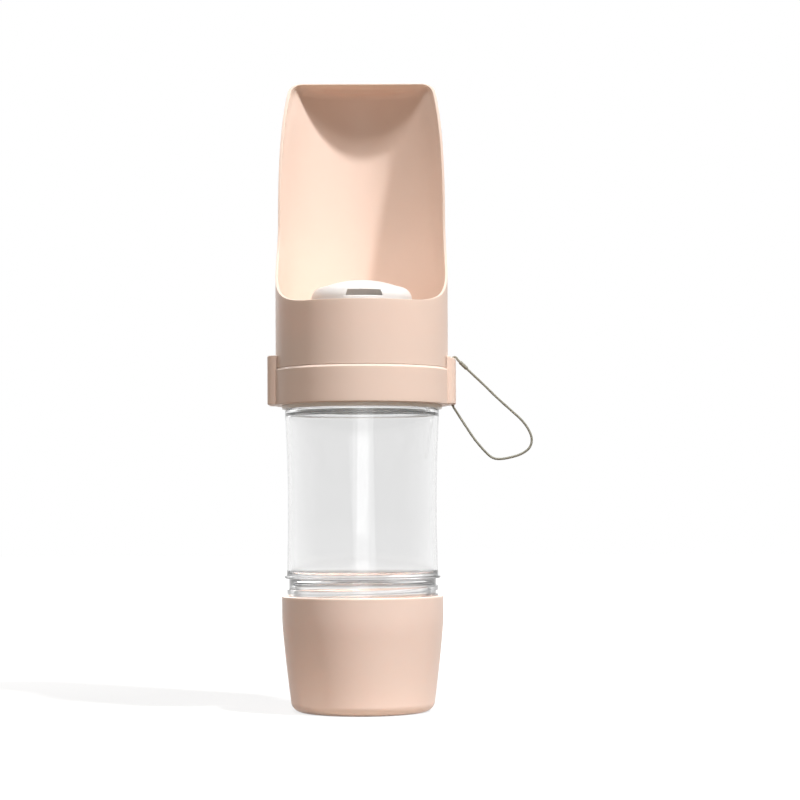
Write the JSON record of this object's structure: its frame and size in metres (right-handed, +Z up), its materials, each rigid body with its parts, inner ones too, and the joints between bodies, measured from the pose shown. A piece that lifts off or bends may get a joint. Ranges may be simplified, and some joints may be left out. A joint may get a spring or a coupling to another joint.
{
  "type": "dog travel water bottle",
  "caption": "Travel bottle for dogs: clear water bottle under a turning open-fronted drinking trough, with a screw-on food cup and a lanyard loop on the collar.",
  "frame": {"origin": "centre of the underside of the food cup, on the axis of the bottle", "axes": "+Z up along the axis of the bottle, -Y out of the open front of the trough, +X towards the lanyard"},
  "size_m": [0.1076, 0.0714, 0.2587],
  "materials": {
    "pink_plastic": "satin moulded plastic, pale dusty pink",
    "white_plastic": "smooth white moulded plastic",
    "clear_plastic": "clear moulded plastic",
    "slide_plastic": "waxy natural slide plastic",
    "silicone": "translucent silicone",
    "steel": "stainless steel",
    "brass": "turned brass",
    "cord": "thin grey-olive braided cord",
    "crimp_sleeve": "shrunk sleeve in the colour of the cord"
  },
  "bodies": {
    "cup": {"food_cup": "pink_plastic"},
    "cup_seal": {"food_cup_seal": "silicone"},
    "bottle": {"bottle_body": "clear_plastic"},
    "mouth_seal": {"bottle_seal": "silicone"},
    "cap": {"neck_cap": "white_plastic", "collar_ring": "pink_plastic", "valve_gasket": "silicone", "vent_valve": "silicone", "brass_insert": "brass", "pivot_screw": "steel", "pivot_washer": "steel", "disc_spring": "steel", "guide_ring": "slide_plastic", "lanyard": "cord", "lanyard_crimp": "crimp_sleeve"},
    "trough_head": {"trough": "pink_plastic", "valve_rotor": "white_plastic", "rotor_screws": "steel", "floor_seal": "silicone", "outlet_dome": "white_plastic"}
  },
  "joints": [
    {"name": "bottle_lift", "type": "slide", "parent": "cup", "child": "cup_seal", "axis": [0, 0, 1], "range_m": [-0.0068, 0.00425]},
    {"name": "bottle_turn", "type": "hinge", "parent": "cup_seal", "child": "bottle", "pos_m": [0, 0, 0.048], "axis": [0, 0, 1], "range_deg": [-720, 450]},
    {"name": "cap_lift", "type": "slide", "parent": "bottle", "child": "mouth_seal", "axis": [0, 0, 1], "range_m": [0, 0.0085]},
    {"name": "cap_turn", "type": "hinge", "parent": "mouth_seal", "child": "cap", "pos_m": [0, 0, 0.13], "axis": [0, 0, 1], "range_deg": [0, 900]},
    {"name": "trough_turn", "type": "hinge", "parent": "cap", "child": "trough_head", "pos_m": [0, 0, 0.142], "axis": [0, 0, 1], "range_deg": [0, 90]}
  ],
  "couplings": [
    {"joint": "bottle_turn", "follows": "bottle_lift", "rad_per_m": 1848},
    {"joint": "cap_turn", "follows": "cap_lift", "rad_per_m": 1848}
  ]
}
